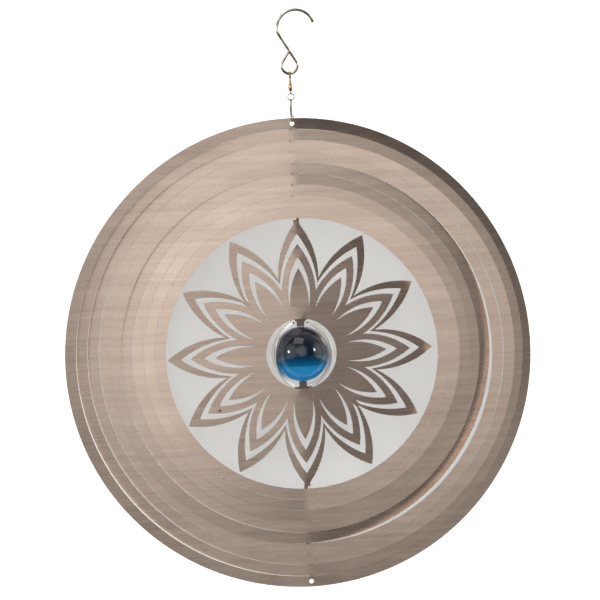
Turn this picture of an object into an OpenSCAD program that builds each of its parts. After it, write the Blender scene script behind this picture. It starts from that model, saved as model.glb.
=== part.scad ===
// Hanging wind spinner: nine steel rings and a twelve-petal flower cut from one flat sheet,
// turned about their common vertical axis, with a glass ball at the centre.
// The origin is the seat inside the hook, straight above the load line. The spinner hangs down -Z,
// its outermost ring lies in the XZ plane and its front faces -Y.

/* [Sheet] */
// Thickness of the steel sheet
sheet_t = 0.5; // [0.4:0.05:0.7]
// Width of the laser cut between rings
kerf = 0.4; // [0.3:0.05:0.8]
// Width of the tabs that join neighbouring rings at top and bottom
tab_w = 4.5; // [3:0.5:8]

/* [Rings] */
// Radial pitch of the nine rings
ring_pitch = 7.05; // [5.5:0.05:9]
// Set angle of each ring about the vertical axis, outermost first
ring_turn = [0, -2.5, -4, -5, -1, -3, -4.5, -8, -9.5];
// Diameter of the hanging hole and of the pendant hole
hole_d = 3; // [2:0.1:3.6]
// Distance from the outer edge to the centre of either hole
hole_inset = 3.45; // [2.8:0.05:3.9]

/* [Flower] */
// Radius over the petal tips
flower_r = 85; // [70:1:105]
// Radial gap between a petal tip and the innermost ring
neck_h = 1.5; // [1:0.1:4]
// Width of the neck between the flower and the innermost ring
neck_w = 3.8; // [3:0.1:6]
// Set angle of the flower about the vertical axis
flower_turn = 2.8; // [-12:0.1:12]
// Radius at which two neighbouring petals meet
notch_r = 49.5; // [46:0.5:54]
// Length of the petal border at a tip
border_tip = 8.4; // [6:0.1:10]
// Depth of the petal border at a notch
border_notch = 3.1; // [2:0.1:4]
// Length of the outer slot at a tip
slot_tip = 6.5; // [4:0.1:8]
// Depth of the outer slot at a notch
slot_notch = 4.9; // [3:0.1:5.5]
// Length of the band between the two slots at a tip
band_tip = 8.5; // [6:0.1:10]
// Length of the inner slot at its tip
chevron_tip = 6.8; // [4:0.1:8]
// Radius at which the legs of the inner slot end
chevron_end_r = 30; // [28:0.5:33]
// Angle between a leg's end and the petal's axis
chevron_end_a = 11; // [9:0.5:12]
// Width of the two bridges between the petal border and the flower
bridge_w = 4; // [3:0.1:5]

/* [Ball] */
// Diameter of the glass ball
ball_d = 35; // [29:0.5:38]
// Radial room between the ball and the edge of its hole
ball_room = 5; // [4.2:0.1:6]
// Width of the spring arms that hold the ball
arm_w = 2; // [1.6:0.1:2.6]
// Angle of the spring arms off the sheet
arm_turn = 25.5; // [20:0.5:32]
// Distance of the arms' roots from the axis
arm_root = 4.8; // [4.4:0.1:6]
// Diameter of the rivets that clamp the arms' roots
rivet_d = 2.4; // [2:0.1:2.8]
// Width of the tabs above and below the ball
ball_tab_w = 5; // [3:0.1:5.5]

/* [Hook] */
// Diameter of the hook's wire
hook_wire = 1.9; // [1.5:0.1:2.5]
// Bend radius of the hook, to the middle of the wire
hook_r = 11.85; // [10:0.05:16]
// Sideways distance from the load line to the middle of the bend
hook_offset = 4.85; // [3:0.05:6]
// Angle of the hook's tip above the middle of the bend
hook_tip_a = 18; // [0:1:40]
// Drop from the middle of the bend to the middle of the small loop
hook_drop = 23.3; // [21:0.1:32]
// Radius of the small loop, to the middle of the wire
loop_r = 5; // [4.5:0.1:6.5]
// Radius of the bend between the hook and its shank
shank_bend_r = 4; // [3:0.1:5]

/* [Swivel] */
// Diameter of the wire of both eyes
eye_wire = 0.8; // [0.7:0.05:1]
// Radius of the upper eye, to the middle of the wire
upper_eye_r = 2.5; // [2.3:0.1:3.2]
// Radius of the lower eye, to the middle of the wire
lower_eye_r = 2.1; // [1.9:0.1:2.6]
// Diameter of the barrel
barrel_d = 2.8; // [2.6:0.1:3.6]
// Length of the barrel
barrel_l = 5.1; // [4.5:0.1:7]
// Diameter of the stems that turn in the barrel
stem_d = 0.9; // [0.8:0.05:1]
// Bare length of the upper stem
upper_stem_l = 2; // [1.5:0.1:4]
// Bare length of the lower stem
lower_stem_l = 1.1; // [0.8:0.1:3]

/* [Snap] */
// Diameter of the snap's wire
snap_wire_d = 0.8; // [0.7:0.05:0.9]
// Length of the snap between the middles of its end bends' wire
snap_l = 14.5; // [13.5:0.1:20]
// Radius of both end bends, to the middle of the wire
snap_r = 1.7; // [1.6:0.05:2.2]
// Length of the clasp on the rear leg
clasp_l = 5.9; // [4:0.1:6.4]

/* [Hidden] */
$fn = 96;
ring_count = 9;
petal_count = 12;
petal_a = 360 / petal_count;
// Clearance where one wire hangs on another, round a turning stem and between two halves of a tab
hang_gap = 0.05;
bore_gap = 0.06;
butt_gap = 0.04;
// Clearance between the ball and what holds it
arm_gap = 0.1;
root = 0.3;

// Radii of the rings' edges, edge 1 outermost and edge ring_count + 1 round the flower
inner_r = flower_r + neck_h;
function edge_r(k) = inner_r + (ring_count + 1 - k) * ring_pitch;
hole_r = hole_d / 2;
hole_at = edge_r(1) - hole_inset;

// Petal outlines, each one as [tip radius, notch radius, half angle at the tip]
border_out = [flower_r, notch_r, 40.6];
border_in = [flower_r - border_tip, notch_r - border_notch, 36.8];
petal_out = [border_in[0] - slot_tip, border_in[1] - slot_notch, 38.7];
chevron_out = [petal_out[0] - band_tip, chevron_end_r, 34.4];
chevron_in = [chevron_out[0] - chevron_tip, chevron_end_r, 31];
// The bridges' halves meet just inside the border's notch
bridge_r = border_in[1] - 0.4;
// The border's half is narrower, clear of the petals beside it
stub_w = bridge_w - 1.2;
bridge_a = [45, 225];
ball_hole_r = ball_d / 2 + ball_room;

// Heights down the hanging line
bend_z = -sqrt(pow(hook_r - hook_wire / 2, 2) - pow(hook_offset, 2));
loop_z = bend_z - hook_drop;
bar_z = loop_z - loop_r;
upper_eye_z = bar_z + hook_wire / 2 + hang_gap - (upper_eye_r - eye_wire / 2);
barrel_top = upper_eye_z - upper_eye_r - eye_wire / 2 - upper_stem_l;
barrel_bottom = barrel_top - barrel_l;
lower_eye_z = barrel_bottom - lower_stem_l - lower_eye_r - eye_wire / 2;
lower_bar_z = lower_eye_z - lower_eye_r;
snap_top = lower_bar_z + eye_wire / 2 + hang_gap + snap_wire_d / 2;
snap_bottom = snap_top - snap_l;
disc_z = snap_bottom + snap_wire_d / 2 + hang_gap - hole_r - hole_at;

rivet_t = 0.5;
// Where the hook's wide bend ends, and how far down the shank the loop's free end reaches
bend_end_a = 187;
free_end_at = 0.62;
// The hook's lengths of wire run into a ball this much thicker than the wire
join_swell = 0.06;
cap_t = 0.7;
head_d = barrel_d - 1.2;
head_h = 0.7;
pin_d = 0.4;
gate_d = snap_wire_d - 0.1;
gate_base = snap_bottom + snap_r + 1.65;
gate_top = snap_top - snap_r - 2.2;
fork_t = 0.4;
fork_x = 0.55;

// A bent length of wire in the XZ plane, about the origin, from angle a0 to angle a1
module bent_wire(r, d, a0, a1) {
    rotate([90, 0, 0])
        rotate([0, 0, a0])
            rotate_extrude(angle = a1 - a0)
                translate([r, 0])
                    circle(d = d);
}

// A straight length of wire in the XZ plane from p to q, each [x, z]
module straight_wire(p, q, d) {
    run = q - p;
    translate([p[0], 0, p[1]])
        rotate([0, atan2(run[0], run[1]), 0])
            cylinder(d = d, h = norm(run));
}

// Moves sheet work to the disc's centre and turns it about the vertical axis
module in_disc(turn) {
    translate([0, 0, disc_z])
        rotate([0, 0, turn])
            children();
}

// Stands a flat outline up as sheet in the XZ plane
module sheet() {
    rotate([90, 0, 0])
        linear_extrude(sheet_t, center = true)
            children();
}

// A strip of width w from radius r0 to r1, at top and bottom
module strip_pair(w, r0, r1) {
    for (side = [1, -1])
        translate([-w / 2, side > 0 ? r0 : -r1])
            square([w, r1 - r0]);
}

// One petal outline: two arcs that start at the tip and pass through the notch
module petal(outline, a = petal_a / 2) {
    tip = outline[0];
    end = outline[1] * [cos(a), sin(a)];
    chord = [tip - end[0], end[1]];
    r = norm(chord) / (2 * sin(outline[2] - atan2(chord[1], chord[0])));
    middle = [tip - r * sin(outline[2]), r * cos(outline[2])];
    intersection() {
        translate([middle[0], middle[1]])
            circle(r = r);
        translate([middle[0], -middle[1]])
            circle(r = r);
    }
}

// Copies an outline that points along +X to every petal's place
module each_petal() {
    for (i = [0 : petal_count - 1])
        rotate(90 + i * petal_a)
            children();
}

// Ring k of the disc, flat: tabs reach half way across each cut
module ring_outline(k) {
    outer = k == 1 ? edge_r(1) : edge_r(k) - kerf / 2;
    inner = k == ring_count ? inner_r : edge_r(k + 1) + kerf / 2;
    difference() {
        circle(r = outer);
        circle(r = inner);
        if (k == 1)
            for (side = [1, -1])
                translate([0, side * hole_at])
                    circle(r = hole_r);
    }
    if (k > 1)
        strip_pair(tab_w, outer - root, edge_r(k) - butt_gap / 2);
    if (k < ring_count)
        strip_pair(tab_w, edge_r(k + 1) + butt_gap / 2, inner + root);
    else
        strip_pair(neck_w, inner_r - (neck_h - butt_gap) / 2, inner_r + root);
}

module ring(k) {
    color([0.74, 0.7, 0.65])
        in_disc(ring_turn[k - 1])
            sheet()
                ring_outline(k);
}

// Zigzag border round the petals, joined to the innermost ring at top and bottom
module petal_border() {
    color([0.64, 0.6, 0.56])
        in_disc(flower_turn)
            sheet() {
                difference() {
                    each_petal() petal(border_out);
                    each_petal() petal(border_in);
                    circle(r = border_in[1] - root);
                }
                strip_pair(neck_w, flower_r - neck_w, inner_r - (neck_h + butt_gap) / 2);
                for (a = bridge_a)
                    rotate(a + 90)
                        translate([bridge_r + butt_gap / 2, -stub_w / 2])
                            square([notch_r - bridge_r - butt_gap / 2, stub_w]);
            }
}

// Twelve petals in one piece, each with a chevron slot, round the ball's hole
module flower() {
    color([0.7, 0.66, 0.6])
        in_disc(flower_turn)
            sheet()
                difference() {
                    union() {
                        each_petal() petal(petal_out);
                        circle(r = petal_out[1] - root);
                        for (a = bridge_a)
                            rotate(a + 90)
                                translate([petal_out[1] - 1, -bridge_w / 2])
                                    square([bridge_r - butt_gap / 2 - petal_out[1] + 1, bridge_w]);
                    }
                    each_petal()
                        difference() {
                            petal(chevron_out, chevron_end_a);
                            petal(chevron_in, chevron_end_a);
                        }
                    circle(r = ball_hole_r);
                }
}

// One spring arm in its own plane: an arc from the upper root to the lower root, past the ball
module arm_outline() {
    ball_r = ball_d / 2;
    // The ball's section in the plane of the arm, which stands off the axis
    off = arm_root * sin(arm_turn);
    section_x = -arm_root * cos(arm_turn);
    section_r = sqrt(ball_r * ball_r - off * off);
    reach = section_x + section_r + arm_gap + arm_w / 2;
    half = ball_hole_r - arm_w;
    middle = (reach * reach - half * half) / (2 * reach);
    r = reach - middle;
    difference() {
        translate([middle, 0])
            circle(r = r + arm_w / 2);
        translate([middle, 0])
            circle(r = r - arm_w / 2);
        translate([-2 * r, -2 * r])
            square([2 * r, 4 * r]);
    }
}

// Four spring arms, two in front of the sheet and two behind, with a tab above and below the ball
module ball_cage() {
    color([0.8, 0.8, 0.8])
        in_disc(flower_turn) {
            for (side = [0, 180], lean = [-arm_turn, arm_turn])
                rotate([0, 0, side])
                    translate([arm_root, 0, 0])
                        rotate([0, 0, lean])
                            sheet()
                                arm_outline();
            for (x = [-arm_root, arm_root], z = [-1, 1])
                translate([x, 0, z * (ball_hole_r - arm_w + 0.2)])
                    rotate([90, 0, 0])
                        cylinder(d = rivet_d, h = sheet_t + 2 * rivet_t, center = true);
            sheet()
                intersection() {
                    union() {
                        strip_pair(ball_tab_w, ball_d / 2, ball_hole_r);
                        strip_pair(2 * arm_root + 1, ball_hole_r - 1.6, ball_hole_r);
                    }
                    difference() {
                        circle(r = ball_hole_r - butt_gap);
                        circle(r = ball_d / 2 + arm_gap);
                    }
                }
        }
}

module glass_ball() {
    color([0.05, 0.32, 0.5])
        in_disc(flower_turn)
            sphere(d = ball_d);
}

// Wire hook: a wide bend, a slanting shank and a small closed loop
module hook() {
    bend = [hook_offset, bend_z];
    bend_end = bend + hook_r * [cos(bend_end_a), sin(bend_end_a)];
    elbow = bend_end - shank_bend_r * [cos(bend_end_a), sin(bend_end_a)];
    loop = [0, loop_z];
    run = loop - elbow;
    lean = atan2(run[0], -run[1]) + asin((shank_bend_r + loop_r) / norm(run));
    shank_top = elbow + shank_bend_r * [-cos(lean), -sin(lean)];
    shank_end = loop + loop_r * [cos(lean), sin(lean)];
    // The loop's free end lies against the shank
    close = shank_top + (shank_end - shank_top) * free_end_at;
    back = loop - close;
    back_a = asin(loop_r / norm(back)) - atan2(back[0], -back[1]);
    loop_left = loop + loop_r * [-cos(back_a), sin(back_a)];
    color([0.78, 0.77, 0.75]) {
        translate([bend[0], 0, bend[1]]) {
            bent_wire(hook_r, hook_wire, hook_tip_a, bend_end_a);
            rotate([0, -hook_tip_a, 0])
                translate([hook_r, 0, 0])
                    sphere(d = hook_wire);
        }
        translate([elbow[0], 0, elbow[1]])
            bent_wire(shank_bend_r, hook_wire, bend_end_a, 180 + lean);
        straight_wire(shank_top, shank_end, hook_wire);
        translate([0, 0, loop_z])
            bent_wire(loop_r, hook_wire, -180 - back_a, lean);
        straight_wire(loop_left, close, hook_wire);
        for (p = [bend_end, shank_top, shank_end, loop_left])
            translate([p[0], 0, p[1]])
                sphere(d = hook_wire + join_swell);
    }
}

// A stem along -Z with a head at its end, length l without the head
module headed_stem(l) {
    translate([0, 0, -l])
        cylinder(d = stem_d, h = l);
    translate([0, 0, -l - head_h])
        cylinder(d = head_d, h = head_h);
}

module swivel_upper_eye() {
    color([0.76, 0.62, 0.4]) {
        translate([0, 0, upper_eye_z]) {
            rotate([0, 0, 90])
                bent_wire(upper_eye_r, eye_wire, 0, 360);
            translate([0, 0, -upper_eye_r])
                headed_stem(eye_wire / 2 + upper_stem_l + cap_t + hang_gap);
        }
    }
}

module swivel_lower_eye() {
    color([0.8, 0.79, 0.77]) {
        translate([0, 0, lower_eye_z]) {
            bent_wire(lower_eye_r, eye_wire, 0, 360);
            translate([0, 0, lower_eye_r])
                mirror([0, 0, 1])
                    headed_stem(eye_wire / 2 + lower_stem_l + cap_t + hang_gap);
        }
    }
}

module swivel_barrel() {
    color([0.7, 0.52, 0.3])
        translate([0, 0, (barrel_top + barrel_bottom) / 2])
            difference() {
                intersection() {
                    cylinder(d = barrel_d, h = barrel_l, center = true);
                    sphere(r = barrel_l / 2 + 0.1);
                }
                cylinder(d = barrel_d - 0.8, h = barrel_l - 2 * cap_t, center = true);
                cylinder(d = stem_d + 2 * bore_gap, h = barrel_l + 1, center = true);
            }
}

// Wire body of the snap, open at the front between the stub and the fork of the gate
module snap_wire() {
    stub_end = gate_top + 0.2;
    fork_base = gate_base - 1.2;
    color([0.62, 0.61, 0.6]) {
        rotate([0, 0, 90]) {
            translate([0, 0, snap_top - snap_r])
                bent_wire(snap_r, snap_wire_d, 0, 180);
            translate([0, 0, snap_bottom + snap_r])
                bent_wire(snap_r, snap_wire_d, 180, 360);
            straight_wire([snap_r, snap_bottom + snap_r], [snap_r, snap_top - snap_r], snap_wire_d);
            straight_wire([-snap_r, stub_end], [-snap_r, snap_top - snap_r], snap_wire_d);
            straight_wire([-snap_r, snap_bottom + snap_r], [-snap_r, fork_base + 0.2], snap_wire_d);
        }
        // Lip that stops the gate from swinging outwards
        translate([-0.4, -snap_r - snap_wire_d / 2 - 0.3, gate_top - 0.8])
            cube([0.8, 0.3, 2]);
        translate([-0.4, -snap_r - snap_wire_d / 2 - 0.1, stub_end])
            cube([0.8, 0.3, 1]);
        // Fork that holds the gate's pin
        difference() {
            union() {
                translate([-fork_x - fork_t, -snap_r - 0.5, fork_base])
                    cube([2 * (fork_x + fork_t), 1, 0.4]);
                for (x = [-fork_x - fork_t, fork_x]) {
                    translate([x, -snap_r - 0.5, fork_base])
                        cube([fork_t, 1, gate_base - fork_base]);
                    translate([x, -snap_r, gate_base])
                        rotate([0, 90, 0])
                            cylinder(d = 1, h = fork_t);
                }
            }
            translate([-2, -snap_r, gate_base])
                rotate([0, 90, 0])
                    cylinder(d = pin_d, h = 4);
        }
    }
}

// Folded metal clasp, crimped round the rear leg
module snap_clasp() {
    middle = (snap_top + snap_bottom) / 2;
    color([0.45, 0.43, 0.42])
        difference() {
            translate([-snap_wire_d / 2 - 0.35, snap_r - 0.55, middle - clasp_l / 2])
                cube([snap_wire_d + 0.7, 1.3, clasp_l]);
            translate([0, snap_r, middle - clasp_l])
                cylinder(d = snap_wire_d, h = 2 * clasp_l);
        }
}

module snap_gate() {
    color([0.7, 0.7, 0.7])
        difference() {
            union() {
                translate([0, -snap_r, gate_base])
                    cylinder(d = gate_d, h = gate_top - gate_base - gate_d / 2);
                translate([0, -snap_r, gate_top - gate_d / 2])
                    sphere(d = gate_d);
                translate([-fork_x + 0.1, -snap_r, gate_base])
                    rotate([0, 90, 0])
                        cylinder(d = 1, h = 2 * fork_x - 0.2);
            }
            translate([-2, -snap_r, gate_base])
                rotate([0, 90, 0])
                    cylinder(d = pin_d + 0.1, h = 4);
        }
}

module gate_pin() {
    color([0.8, 0.79, 0.77])
        translate([-fork_x - fork_t - 0.1, -snap_r, gate_base])
            rotate([0, 90, 0])
                cylinder(d = pin_d, h = 2 * (fork_x + fork_t) + 0.2);
}

hook();
swivel_upper_eye();
swivel_barrel();
swivel_lower_eye();
snap_wire();
snap_clasp();
snap_gate();
gate_pin();
for (k = [1 : ring_count])
    ring(k);
petal_border();
flower();
ball_cage();
glass_ball();
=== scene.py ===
# Hanging wind spinner: nine turned steel rings and a twelve-petal flower cut from one sheet, a
# blue glass ball in a spring cage, and the hook, swivel and snap that the disc hangs from.
import math

import bpy
import numpy as np
from mathutils import Matrix, Vector
from mathutils.geometry import delaunay_2d_cdt


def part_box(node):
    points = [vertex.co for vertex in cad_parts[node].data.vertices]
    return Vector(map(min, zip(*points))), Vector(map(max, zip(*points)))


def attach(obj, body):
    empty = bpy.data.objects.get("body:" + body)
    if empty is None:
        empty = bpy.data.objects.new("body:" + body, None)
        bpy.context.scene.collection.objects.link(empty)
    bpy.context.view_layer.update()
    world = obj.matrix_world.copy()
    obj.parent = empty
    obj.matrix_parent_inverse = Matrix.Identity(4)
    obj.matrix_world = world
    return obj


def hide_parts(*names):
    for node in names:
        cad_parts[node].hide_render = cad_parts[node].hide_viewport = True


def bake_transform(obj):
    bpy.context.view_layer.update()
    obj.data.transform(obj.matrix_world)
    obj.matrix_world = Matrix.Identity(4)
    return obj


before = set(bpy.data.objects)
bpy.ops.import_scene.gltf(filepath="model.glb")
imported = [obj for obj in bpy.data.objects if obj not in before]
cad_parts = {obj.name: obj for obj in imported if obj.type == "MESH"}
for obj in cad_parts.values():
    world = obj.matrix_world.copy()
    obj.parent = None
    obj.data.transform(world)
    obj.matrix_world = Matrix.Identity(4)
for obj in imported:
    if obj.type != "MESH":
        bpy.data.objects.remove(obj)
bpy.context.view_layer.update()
MM = 0.001


# --- The sheet: one disc of 304 stainless, 0.5 mm thick, brushed from side to side at the mill and
# then cut by laser. The brushing spreads each reflection upwards and downwards, so a ring's tone
# tells which way it is turned. The laser leaves a bare edge, here coloured darker than the face as
# painted shade for the dark lines between rings.
SHEET_T = 0.5
LIP = 0.05
SHARP = math.radians(30)
# The width in mm that the brushing's map spans, and the least share of a corner's eased edge
BRUSH_SPAN, MITRE_LIMIT = 300, 0.9


def linear(code):
    """An sRGB hex colour as linear RGBA."""
    parts = [int(code[i:i + 2], 16) / 255 for i in (1, 3, 5)]
    return [p / 12.92 if p <= 0.04045 else ((p + 0.055) / 1.055) ** 2.4 for p in parts] + [1]


def add(tree, kind, inputs=None, **settings):
    """Adds one node with its settings, values and links."""
    made = tree.nodes.new("ShaderNode" + kind)
    for name, value in settings.items():
        setattr(made, name, value)
    for socket, value in (inputs or {}).items():
        if isinstance(value, bpy.types.NodeSocket):
            tree.links.new(value, made.inputs[socket])
        else:
            made.inputs[socket].default_value = value
    return made


def new_material(name):
    """A material with an empty node tree and its output."""
    material = bpy.data.materials.new(name)
    material.use_nodes = True
    material.node_tree.nodes.clear()
    return material, material.node_tree


def brushed_stainless(name, light, dark, stain=None):
    """304 stainless, brushed. Real brush lines are 0.05 mm apart: too fine to show, so they are
    drawn 0.4 mm apart and 24 mm long, over 4 mm bands from the mill's belt."""
    material, tree = new_material(name)
    here = add(tree, "TexCoord").outputs["Object"]
    lines = add(tree, "Mapping", {"Vector": here, "Scale": (42, 42, 2500)}).outputs[0]
    grain = add(tree, "TexNoise", {"Vector": lines, "Scale": 1, "Detail": 3, "Roughness": 0.6})
    belt = add(tree, "Mapping", {"Vector": here, "Scale": (7, 7, 250)}).outputs[0]
    bands = add(tree, "TexNoise", {"Vector": belt, "Scale": 1, "Detail": 2})
    hands = add(tree, "TexNoise", {"Vector": here, "Scale": 28, "Detail": 3})
    both = add(tree, "Math", {0: grain.outputs["Fac"], 1: bands.outputs["Fac"]}, operation="ADD")
    share = add(tree, "MapRange", {"Value": both.outputs[0], "From Min": 0.65, "From Max": 1.35})
    tone = add(tree, "Mix", {0: share.outputs[0], 6: linear(dark), 7: linear(light)},
               data_type="RGBA").outputs[2]
    if stain:
        # A pinhead of rust where grit sat on the sheet
        gap = add(tree, "VectorMath", {0: here, 1: stain}, operation="DISTANCE").outputs["Value"]
        spot = add(tree, "MapRange", {"Value": gap, "From Min": 0.0004, "From Max": 0.0011,
                                      "To Min": 1, "To Max": 0}).outputs[0]
        tone = add(tree, "Mix", {0: spot, 6: tone, 7: linear("#5A2E1E")},
                   data_type="RGBA").outputs[2]
    rough = add(tree, "MapRange", {"Value": hands.outputs["Fac"], "From Min": 0.35,
                                   "From Max": 0.65, "To Min": 0.2, "To Max": 0.25})
    rubbed = add(tree, "Math", {0: grain.outputs["Fac"], 1: 0.1, 2: rough.outputs[0]},
                 operation="MULTIPLY_ADD")
    relief = add(tree, "Bump", {"Strength": 0.22, "Distance": 0.00002,
                                "Height": grain.outputs["Fac"]})
    tangent = add(tree, "Tangent", direction_type="UV_MAP", uv_map="brushing")
    steel = add(tree, "BsdfPrincipled", {
        "Base Color": tone, "Metallic": 1.0, "Roughness": rubbed.outputs[0],
        "Anisotropic": 0.7, "Tangent": tangent.outputs[0], "Normal": relief.outputs[0]})
    add(tree, "OutputMaterial", {"Surface": steel.outputs[0]})
    return material


def laser_cut_edge():
    """304 stainless melted and blown off by the laser: fine ridges 0.3 mm apart through the sheet,
    coloured darker than the brushed face as painted shade for the dark lines between rings."""
    material, tree = new_material("stainless_laser_cut_edge_painted_shade")
    here = add(tree, "TexCoord").outputs["Object"]
    ridges = add(tree, "Mapping", {"Vector": here, "Scale": (3300, 150, 3300)}).outputs[0]
    melt = add(tree, "TexNoise", {"Vector": ridges, "Scale": 1, "Detail": 2})
    rough = add(tree, "MapRange", {"Value": melt.outputs["Fac"], "To Min": 0.25, "To Max": 0.45})
    # Painted shade: the edge is coloured darker than the brushed face, so the cuts between rings
    # show as dark shadow lines.
    tone = add(tree, "Mix", {0: melt.outputs["Fac"], 6: linear("#8E857C"), 7: linear("#BDB3A8")},
               data_type="RGBA").outputs[2]
    relief = add(tree, "Bump", {"Strength": 0.4, "Distance": 0.00003,
                                "Height": melt.outputs["Fac"]})
    steel = add(tree, "BsdfPrincipled", {"Base Color": tone, "Metallic": 1.0,
                                         "Roughness": rough.outputs[0],
                                         "Normal": relief.outputs[0]})
    add(tree, "OutputMaterial", {"Surface": steel.outputs[0]})
    return material


def within(loop, x, z):
    """Which points lie inside a closed outline."""
    a, b = loop, np.roll(loop, -1, axis=0)
    inside = np.zeros(len(x), bool)
    for (ax, az), (bx, bz) in zip(a, b):
        if az != bz:
            crosses = ((az > z) != (bz > z)) & (x < (bx - ax) * (z - az) / (bz - az) + ax)
            inside ^= crosses
    return inside


def circle(radius, count, centre=(0, 0)):
    """A closed outline round a centre, in mm."""
    a = np.linspace(0, 2 * math.pi, count, endpoint=False)
    return np.stack([centre[0] + radius * np.cos(a), centre[1] + radius * np.sin(a)], 1)


def rectangle(x0, x1, z0, z1, step=0.6):
    """A closed outline with points along each side, in mm."""
    nx, nz = (max(2, round((hi - lo) / step)) for lo, hi in ((x0, x1), (z0, z1)))
    xs, zs = np.linspace(x0, x1, nx + 1), np.linspace(z0, z1, nz + 1)
    return np.concatenate([
        np.stack([xs[:-1], np.full(nx, z0)], 1), np.stack([np.full(nz, x1), zs[:-1]], 1),
        np.stack([xs[:0:-1], np.full(nx, z1)], 1), np.stack([np.full(nz, x0), zs[:0:-1]], 1)])


def mesh_piece(name, verts, faces, materials, spare=()):
    """A linked object from vertices in mm, smooth but for its sharp edges. The faces whose
    numbers are in spare take the second material."""
    mesh = bpy.data.meshes.new(name)
    mesh.from_pydata((np.asarray(verts) * MM).tolist(), [], faces)
    for material in materials:
        mesh.materials.append(material)
    flags = np.zeros(len(mesh.polygons), np.int32)
    flags[list(spare)] = 1
    mesh.polygons.foreach_set("material_index", flags)
    mesh.polygons.foreach_set("use_smooth", np.ones(len(mesh.polygons), bool))
    uv = mesh.uv_layers.new(name="brushing")
    corners = np.zeros(len(mesh.loops), np.int32)
    mesh.loops.foreach_get("vertex_index", corners)
    flat = np.asarray(verts)[corners][:, [2, 0]] / BRUSH_SPAN + 0.5
    uv.data.foreach_set("uv", flat.astype(np.float32).ravel())
    mesh.update()
    mesh.set_sharp_from_angle(angle=SHARP)
    piece = bpy.data.objects.new(name, mesh)
    bpy.context.scene.collection.objects.link(piece)
    return piece


def cut_plate(name, outlines, kept, materials, bend=None, dots=(), thick=SHEET_T, lip=LIP):
    """A flat plate in the XZ plane, cut along closed outlines in mm, with its edges eased by lip.
    kept tells which points are metal, dots are extra points in the face, bend shapes the plate."""
    points, edges = [], []
    for loop in outlines:
        first = len(points)
        points += [Vector(p) for p in loop]
        edges += [(first + i, first + (i + 1) % len(loop)) for i in range(len(loop))]
    points += [Vector(p) for p in dots]
    flat, _, tris, *_ = delaunay_2d_cdt(points, edges, [], 0, 1e-5)
    flat = np.array([[p[0], p[1]] for p in flat])
    tris = np.array(tris)
    middle = flat[tris].mean(1)
    tris = tris[kept(middle[:, 0], middle[:, 1])]
    used, tris = np.unique(tris, return_inverse=True)
    flat, tris = flat[used], tris.reshape(-1, 3)
    p, q, r = (flat[tris[:, i]] for i in range(3))
    turned = (q - p)[:, 0] * (r - p)[:, 1] - (q - p)[:, 1] * (r - p)[:, 0] < 0
    tris[turned] = tris[turned][:, ::-1]
    sides = {}
    for t in tris.tolist():
        for i in range(3):
            sides[t[i], t[(i + 1) % 3]] = True
    rim = [(a, b) for a, b in sides if (b, a) not in sides]
    inward = np.zeros_like(flat)
    for a, b in rim:
        run = flat[b] - flat[a]
        left = np.array([-run[1], run[0]]) / np.linalg.norm(run)
        inward[a] += left
        inward[b] += left
    length = np.linalg.norm(inward, axis=1)
    on_rim = np.nonzero(length > 1e-6)[0]
    eased = flat.copy()
    mitre = 2 * lip / np.maximum(length[on_rim], MITRE_LIMIT) ** 2
    eased[on_rim] += inward[on_rim] * mitre[:, None]
    n, half = len(flat), thick / 2
    slot_of = {int(v): i for i, v in enumerate(on_rim)}

    def layer(plan, y):
        return np.stack([plan[:, 0], np.full(len(plan), y), plan[:, 1]], 1)

    verts = np.concatenate([layer(eased, -half), layer(eased, half),
                            layer(flat[on_rim], -half + lip), layer(flat[on_rim], half - lip)])
    faces = tris.tolist() + (tris[:, ::-1] + n).tolist()
    cut = len(faces)
    for a, b in rim:
        fa, fb = 2 * n + slot_of[a], 2 * n + slot_of[b]
        ba, bb = fa + len(on_rim), fb + len(on_rim)
        faces += [(b, a, fa, fb), (fb, fa, ba, bb), (bb, ba, a + n, b + n)]
    if bend:
        verts = bend(verts)
    return mesh_piece(name, verts, faces, materials, range(cut, len(faces)))


def place(piece, turn, height, body, slot, *nodes):
    """Sets a piece on the vertical axis, turned by so many degrees, and fixes it to its body."""
    piece.matrix_world = Matrix.Translation((0, 0, height)) @ Matrix.Rotation(
        math.radians(turn), 4, "Z")
    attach(piece, body)
    if nodes:
        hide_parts(*nodes)
    return piece


sheet_steel = brushed_stainless("stainless_304_brushed_sheet", "#D4C1B3", "#BDA89A")
cut_edge = laser_cut_edge()

# --- The nine rings: bands 7 mm wide, each turned a few degrees on by hand about the vertical
# axis. Turning them left each half slightly sprung, so both halves of a ring lean a little
# differently at top and bottom, with a soft fold at the tabs.
RING_TURN = [0, -2.5, -4, -5, -1, -3, -4.5, -8, -9.5]
RING_COUNT = len(RING_TURN)
KERF = 0.15
HOLE_R, HOLE_INSET = 1.5, 3.45
HOLE_CLEAR = 0.7
FOLD_W = 1.2
FLOWER_R, NECK_H = 85, 1.5
RIM_POINTS, FACE_POINTS = 540, 270
# Extra lean in degrees: right side at top and bottom, left side at top and bottom
RING_SPRING = [
    (4.0, -3.8, -1.8, -5.5), (1.1, -2.4, -2.8, -5.5), (-2.5, -4.0, -5.1, -4.9),
    (-0.3, -3.4, -5.5, -3.4), (-2.3, 0.5, -4.9, -2.3), (1.1, -2.0, -5.5, -2.5),
    (-0.8, -1.0, -4.6, 1.1), (-2.0, -2.0, -1.7, 5.1), (-1.3, -1.3, 0.3, 5.5)]

low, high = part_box("ring_1")
disc_height = (low.z + high.z) / 2
disc_r = (high.z - low.z) / 2 / MM
inner_r = FLOWER_R + NECK_H
pitch = (disc_r - inner_r) / RING_COUNT
edge_r = [inner_r + (RING_COUNT - i) * pitch for i in range(RING_COUNT + 1)]


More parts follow.
